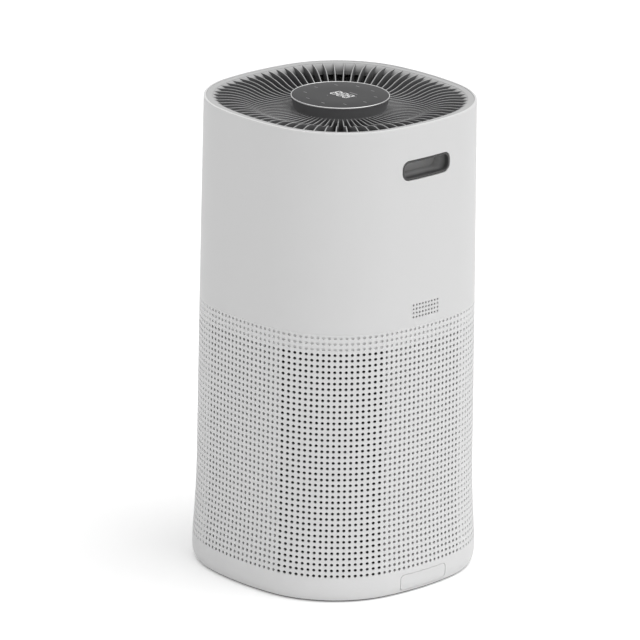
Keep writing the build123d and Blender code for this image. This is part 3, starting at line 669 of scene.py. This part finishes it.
def coveInner(height):
    # a slope that steepens as it goes down: the reach is the share of the drop, raised to a power below one
    share = np.clip((coveTop - height) / cove["drop"], 0, 1)
    return bezelGrow - cove["edge"] - cove["reach"] * share ** cove["power"]


def coveOuter(height):
    # behind the slope by the lip's thickness, and never into the bezel's wall
    return np.minimum(coveInner(height) + cove["thickness"], bezelGrow - cove["gap"])


shellGrid("bezelCove", {
    "columns": cove["columns"], "heights": np.linspace(coveTop, coveTop - cove["drop"], cove["rows"]),
    "innerFloor": 0, "under": [], "outerGrow": coveOuter, "innerGrow": coveInner, "holes": [], "windows": [],
}, "body", covePlastic)

glassBox = nodeBox("panel_glass")
ringBox = nodeBox("panel_ring")
glassFloor = glassBox[0][2]
neckRadius = grille["neckRadius"]
neckBore = neckRadius - grille["neckWall"]
neckTop = neckRadius + grille["neckFlare"]
wellFloor = nodeBox("control_neck")[0][2]
wellRadius = neckBore - grille["wellGap"]
wellBore = wellRadius - grille["neckWall"]
hubTop = neckFoot + grille["collar"]
neckPlastic = plastic("neckPlastic", grille["neckTint"], rough=(0.45, 0.6))
neck = lathe("neckShell", [
    (0, slatFloor), (wellBore, slatFloor), (wellBore, hubTop), (neckTop - grille["neckWall"], glassFloor),
    (neckTop, glassFloor), (neckRadius, hubTop), (wellRadius, hubTop), (wellRadius, wellFloor),
    (0, wellFloor),
], grille["steps"], "body", neckPlastic)
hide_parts("control_neck")
hub = lathe("slatHub", [
    (neckBore, hubTop), (neckRadius, hubTop), (neckRadius, slatFloor), (neckBore, slatFloor),
], grille["steps"], "body", neckPlastic)
for piece in (slats, hub):
    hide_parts("outlet_grille")
print("grille ready")

# Control panel: dark glass disc and the bright ring round it
panel = {
    "edgeRound": 0.4, "edgeSteps": 5, "sink": 0.1, "midShare": 0.5, "trim": 1.1, "trimSteps": 9, "steps": 144,
    "tint": (0.027, 0.027, 0.028), "specular": 0.12, "trimTint": 0.60,
}
glassRadius = glassBox[1][0]
glassTop = glassBox[1][2] - panel["sink"]
panelGloss = plastic("panelGloss", panel["tint"], spread=0.03, grain=300, rough=(0.4, 0.48), bump=0.01)
panelGloss.node_tree.nodes["Principled BSDF"].inputs["Specular IOR Level"].default_value = panel["specular"]
quarterTurn = np.linspace(0, pi / 2, panel["edgeSteps"])
glassEdge = np.stack([
    glassRadius - panel["edgeRound"] * (1 - np.sin(quarterTurn)),
    glassTop - panel["edgeRound"] * (1 - np.cos(quarterTurn)),
], axis=-1)
glass = lathe("panelDisc", [
    (0, glassTop), (glassRadius * panel["midShare"], glassTop), *glassEdge, (glassRadius, glassFloor),
    (0, glassFloor),
], panel["steps"], "body", panelGloss)
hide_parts("panel_glass")
ringChrome = plastic("ringChrome", grey(panel["trimTint"]), spread=0.02, grain=600, rough=(0.25, 0.35),
                     bump=0.01, metallic=1.0)
ringFloor, ringTop = ringBox[0][2], ringBox[1][2]
ringOuter = ringBox[1][0]
trimHalf = panel["trim"] / 2
halfTurn = np.linspace(pi, 0, panel["trimSteps"])
ringEdge = np.stack([
    ringOuter - trimHalf + trimHalf * np.cos(halfTurn), ringTop - trimHalf * (1 - np.sin(halfTurn)),
], axis=-1)
ring = lathe("panelTrim", [
    *ringEdge, (ringOuter, ringFloor), (ringOuter - panel["trim"], ringFloor),
], panel["steps"], "body", ringChrome)
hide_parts("panel_ring")


def flatMarks(name, outlines, top, depth, material):
    # each outline, a closed row of (x, y) points counter-clockwise, becomes a thin prism with its top flush
    points = []
    polygons = []
    count = 0
    for outline in outlines:
        size = len(outline)
        points += [np.column_stack([outline, np.full(size, level)]) for level in (top, top - depth)]
        upperLoop = count + np.arange(size)
        lowerLoop = upperLoop + size
        count += 2 * size
        walls = [upperLoop, lowerLoop, np.roll(lowerLoop, -1), np.roll(upperLoop, -1)]
        polygons += [upperLoop[None], lowerLoop[None, ::-1], np.stack(walls, axis=-1)]
    return addPiece(name, np.concatenate(points), polygons, "body", material)


# Three seven-segment digits and a circle of faint generic touch marks, set flush in the glass
display = {
    "width": 5.6, "height": 13.0, "pitch": 9.4, "stroke": 0.8, "segmentGap": 0.08, "slant": 0.06,
    "depth": 0.12, "inset": 0.02, "place": (1.5, 1.5), "tint": 0.80, "glow": 0.6,
}
marks = {
    "count": 10, "radius": 38.6, "size": 5.6, "stroke": 0.95, "bold": 1.6, "unitBar": (0.0, 13.6, 12.5),
    "lamps": [(-6.8, -12.6), (17.6, 6.6)], "tint": (0.20, 0.20, 0.205),
}


def segment(x0, y0, x1, y1, width):
    # hexagonal bar from one end to the other
    start = np.array([x0, y0])
    end = np.array([x1, y1])
    along = (end - start) / np.linalg.norm(end - start)
    side = np.array([-along[1], along[0]]) * width / 2
    taper = along * width / 2
    return np.array([
        start, start + taper - side, end - taper - side, end, end - taper + side, start + taper + side,
    ])


def digit(x):
    # an eight: three level bars and four upright ones, each a little short of its corners, then slanted
    w, h = display["width"] / 2, display["height"] / 2
    shapes = []
    for x0, y0, x1, y1 in (
        (-w, h, w, h), (-w, 0, w, 0), (-w, -h, w, -h),
        (-w, h, -w, 0), (-w, 0, -w, -h), (w, h, w, 0), (w, 0, w, -h),
    ):
        length = max(abs(x1 - x0), abs(y1 - y0))
        shortX, shortY = [display["segmentGap"] / length * way for way in (x1 - x0, y1 - y0)]
        bar = segment(x0 + shortX, y0 + shortY, x1 - shortX, y1 - shortY, display["stroke"])
        slanted = bar[:, 0] + display["slant"] * bar[:, 1]
        shapes.append(np.column_stack([slanted + x, bar[:, 1]]) + display["place"])
    return shapes


def glowing(name, tint, strength):
    # lit segment: its own colour is also its light
    material = plastic(name, tint, spread=0.05, rough=(0.3, 0.4))
    tree = material.node_tree
    shader = tree.nodes["Principled BSDF"].inputs
    tree.links.new(shader["Base Color"].links[0].from_socket, shader["Emission Color"])
    shader["Emission Strength"].default_value = strength
    return material


digitLight = glowing("digitLight", grey(display["tint"]), display["glow"])
markPrint = plastic("markPrint", marks["tint"], rough=(0.4, 0.5))
markTop = glassBox[1][2] - display["inset"]
digitRow = [shape for place in (-1, 0, 1) for shape in digit(place * display["pitch"])]
flatMarks("displayDigits", digitRow, markTop, display["depth"], digitLight)


def touchMark(number):
    # a short bar, level with the digits, for each touch point
    turn = 2 * pi * number / marks["count"]
    x, y = marks["radius"] * cos(turn), marks["radius"] * sin(turn)
    return segment(x - marks["size"] / 2, y, x + marks["size"] / 2, y, marks["stroke"])


unitLeft, unitLine, unitLength = marks["unitBar"]
boldStroke = marks["stroke"] * marks["bold"]
touchMarks = [touchMark(number) for number in range(marks["count"])]
touchMarks.append(segment(unitLeft, unitLine, unitLeft + unitLength, unitLine, boldStroke))
touchMarks += [segment(x - marks["stroke"], y, x + marks["stroke"], y, boldStroke) for x, y in marks["lamps"]]
flatMarks("touchMarks", touchMarks, markTop, display["depth"], markPrint)
print("panel ready")

# Leaf spring behind the release tab, in a mesh of its own; on the real part it flattens as the tab is pressed
leaf = {"strip": 0.4, "stations": 25}


def leafSpring():
    # a strip between two arcs, each through both feet and its apex: x is the circle's height over the chord
    low, high = nodeBox("tab_spring")
    share = np.linspace(-1, 1, leaf["stations"])

    def arc(span, rise):
        # half the chord squared plus the rise squared, over twice the rise, is the circle's radius
        bend = (span**2 + rise**2) / (2 * rise)
        return low[0] + rise - bend + np.sqrt(bend**2 - (span * share) ** 2), span * share

    outerX, outerY = arc(high[1], high[0] - low[0])
    innerX, innerY = arc(high[1] - leaf["strip"], high[0] - low[0] - leaf["strip"])
    x = np.stack([outerX, outerX, innerX, innerX], axis=-1)
    y = np.stack([outerY, outerY, innerY, innerY], axis=-1)
    z = np.array([low[2], high[2], high[2], low[2]])
    points = np.stack(np.broadcast_arrays(x, y, z), axis=-1).reshape(-1, 3)
    index = np.arange(x.size).reshape(x.shape)
    near, far = index[:-1], index[1:]
    quads = np.stack([near, far, np.roll(far, -1, 1), np.roll(near, -1, 1)], axis=-1)
    polygons = [quads, index[:1], index[-1:, ::-1]]
    piece = addPiece("leafSpring", points, polygons, "body", shaftSteel)
    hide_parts("tab_spring")
    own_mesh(piece)


leafSpring()
print("spring ready")

# Grip cup: painted shade, dark on the walls towards the opening and on the outside, with a paler floor and
# deep half of its inside walls
grip = {"wall": 1.8, "shadeFade": (9.0, 18.0), "tint": 0.05, "floorTint": 0.48}


def cupPaintedShade(name):
    # painted shade: the paler share is one on the floor, falls to nothing along the walls and is nothing on
    # the outside
    # the cup's dark tint is painted shade; the floor tint is the paler floor
    material = plastic(name, grey(grip["tint"]), spread=0.02, rough=(0.45, 0.6))
    tree = material.node_tree
    place = objectAxes(tree)
    floorFace = gripBox[0][0] + grip["wall"]
    half = (gripBox[1] - gripBox[0] - grip["wall"]) / 2

    def away(axis, middle):
        # distance from a middle plane
        return mathNode(tree, "ABSOLUTE", mathNode(tree, "SUBTRACT", place[axis], middle * mm))

    depth = away("X", 0)
    fadeFrom, fadeTo = [(floorFace + shadeFade) * mm for shadeFade in grip["shadeFade"]]
    share = mapRange(tree, depth, fadeFrom, fadeTo, 1, 0)
    for inside in (
        mathNode(tree, "GREATER_THAN", depth, (floorFace - grip["wall"] / 2) * mm),
        mathNode(tree, "LESS_THAN", away("Z", gripMiddle), half[2] * mm),
        mathNode(tree, "LESS_THAN", away("Y", 0), half[1] * mm),
    ):
        share = mathNode(tree, "MULTIPLY", share, inside)
    tintOver(material, share, grey(grip["floorTint"]))
    return material


# Net of the pre-filter sleeve: paler threads round the drum and along it
net = {"pitch": 3.6, "tint": 0.018, "threadTint": 0.07, "threadFrom": 0.5, "threadTo": 0.9}


def netFabric(name):
    # a thread lies where the cosine of the turn, or of the height, comes near its crest
    material = plastic(name, grey(net["tint"]), spread=0.3, grain=1200, rough=(0.7, 0.9), bump=0.5)
    tree = material.node_tree
    place = objectAxes(tree)

    def threads(value, waves):
        # one on the crests of a cosine wave, nothing between them
        wave = mathNode(tree, "COSINE", mathNode(tree, "MULTIPLY", value, waves))
        return mapRange(tree, wave, net["threadFrom"], net["threadTo"])

    radius = nodeBox("filter_sleeve")[1][0]
    turn = mathNode(tree, "ARCTAN2", place["Y"], place["X"])
    upright = threads(turn, round(2 * pi * radius / net["pitch"]))
    level = threads(place["Z"], 2 * pi / (net["pitch"] * mm))
    either = mathNode(tree, "MAXIMUM", upright, level)
    tintOver(material, either, grey(net["threadTint"]))
    relief = tree.nodes["Principled BSDF"].inputs["Normal"].links[0].from_node
    tree.links.new(either, relief.inputs["Height"])
    return material


# CAD nodes that keep their shape get procedural materials
sleeveNet = netFabric("sleeveNet")
gripPaintedShade = cupPaintedShade("gripPaintedShade")
finishes = {
    "base_plate": darkPlastic, "base_feet": footRubber, "filter_lower_cap": capPlastic,
    "filter_upper_cap": capPlastic, "filter_media": fleece, "filter_sleeve": sleeveNet,
    "release_tab": intakePlastic, "grip_cup_right": gripPaintedShade, "grip_cup_left": gripPaintedShade,
    "air_sensor": darkPlastic, "top_bezel": bezelPlastic, "control_board": circuitBoard,
    "power_board": circuitBoard, "led_display": displayBlock, "inlet_plate": innerPlastic,
    "fan_duct": ductPlastic, "board_tray": innerPlastic, "tab_guide": innerPlastic, "impeller": wheelPlastic,
    "fan_motor": motorSteel, "motor_shaft": shaftSteel, "power_inlet": darkPlastic, "supply_lead": leadRubber,
}
for name, material in finishes.items():
    nodes[name].data.materials.clear()
    nodes[name].data.materials.append(material)
print("frame dressed")

# Floor, soft lights, white surroundings
stage = {
    "floorHalf": 12000.0, "floorTone": 0.92, "floorLift": 0.195, "ambient": 0.38,
    "suns": {  # azimuth from +X towards +Y, elevation, strength, spread
        "topLight": (0, 90, 1.14, 100),
        "sideLight": (40, 52, 1.06, 60),
        "frontLight": (-30, 30, 0.46, 70),
    },
}


def seenRays(tree):
    # one for rays from the camera, and for those that a gloss or a glass sends on
    rays = tree.nodes.new("ShaderNodeLightPath").outputs
    flag = rays["Is Camera Ray"]
    for ray in ("Is Glossy Ray", "Is Transmission Ray"):
        flag = mathNode(tree, "MAXIMUM", flag, rays[ray])
    return flag


floorMesh = bpy.data.meshes.new("studioFloor")
floorCorners = np.array([(-1, -1, 0), (1, -1, 0), (1, 1, 0), (-1, 1, 0)]) * stage["floorHalf"] * mm
floorMesh.from_pydata(floorCorners.tolist(), [], [(0, 1, 2, 3)])
floor = bpy.data.objects.new("studioFloor", floorMesh)
bpy.context.scene.collection.objects.link(floor)
floorPaint = plastic("studioFloor", grey(stage["floorTone"]), spread=0.002, rough=(0.9, 1.0), bump=0.0)
floorTree = floorPaint.node_tree
floorShader = floorTree.nodes["Principled BSDF"].inputs
# a little light of its own brings the floor, as it is seen, up to white
lift = mathNode(floorTree, "MULTIPLY", seenRays(floorTree), stage["floorLift"])
floorTree.links.new(lift, floorShader["Emission Strength"])
floorShader["Emission Color"].default_value = (1, 1, 1, 1)
floorShader["Specular IOR Level"].default_value = 0
floorMesh.materials.append(floorPaint)


def addSun(name, azimuth, elevation, strength, spread):
    # a wide spread makes the shadow soft
    lamp = bpy.data.lights.new(name, "SUN")
    lamp.energy = strength
    lamp.angle = radians(spread)
    holder = bpy.data.objects.new(name, lamp)
    bpy.context.scene.collection.objects.link(holder)
    turn, rise = radians(azimuth), radians(elevation)
    toLight = Vector((cos(rise) * cos(turn), cos(rise) * sin(turn), sin(rise)))
    holder.rotation_euler = toLight.to_track_quat("Z", "Y").to_euler()


for name, sun in stage["suns"].items():
    addSun(name, *sun)

world = bpy.data.worlds.new("studio")
bpy.context.scene.world = world
world.use_nodes = True
worldTree = world.node_tree
ambient = worldTree.nodes["Background"]
white = worldTree.nodes.new("ShaderNodeBackground")
for backdrop, strength in ((ambient, stage["ambient"]), (white, 1)):
    backdrop.inputs["Color"].default_value = (1, 1, 1, 1)
    backdrop.inputs["Strength"].default_value = strength
choice = worldTree.nodes.new("ShaderNodeMixShader")
for place, source in enumerate((seenRays(worldTree), ambient.outputs[0], white.outputs[0])):
    worldTree.links.new(source, choice.inputs[place])
worldTree.links.new(choice.outputs[0], worldTree.nodes["World Output"].inputs["Surface"])

# Camera at the photograph's angle: azimuth from the front face, elevation, small pan, tilt and roll
shot = {
    "azimuth": 46.66, "elevation": 18.0, "pan": -0.1538, "tilt": 0.2665, "roll": 0.9224, "distance": 6795.0,
    "aim": 238.0, "focalPixels": 6226.3, "imagePixels": 640, "sensor": 36, "clipEnd": 100,
}
turn, rise, pan, tilt, roll = (radians(shot[key]) for key in ("azimuth", "elevation", "pan", "tilt", "roll"))
right = Vector((cos(turn), sin(turn), 0))
back = Vector((sin(turn) * cos(rise), -cos(turn) * cos(rise), sin(rise)))
up = back.cross(right)
panRight = right * cos(pan) + back * sin(pan)
panAhead = right * sin(pan) - back * cos(pan)
tiltUp = up * cos(tilt) - panAhead * sin(tilt)
ahead = up * sin(tilt) + panAhead * cos(tilt)
rollRight = panRight * cos(roll) + tiltUp * sin(roll)
rollUp = tiltUp * cos(roll) - panRight * sin(roll)
lens = bpy.data.cameras.new("photoCamera")
lens.sensor_width = shot["sensor"]
lens.lens = shot["sensor"] * shot["focalPixels"] / shot["imagePixels"]
lens.clip_end = shot["clipEnd"]
camera = bpy.data.objects.new("photoCamera", lens)
bpy.context.scene.collection.objects.link(camera)
camera.matrix_world = Matrix((rollRight, rollUp, -ahead)).transposed().to_4x4()
camera.location = (Vector((0, 0, shot["aim"])) + back * shot["distance"]) * mm
bpy.context.scene.camera = camera
bpy.context.scene.view_settings.view_transform = "Standard"
print("stage ready")
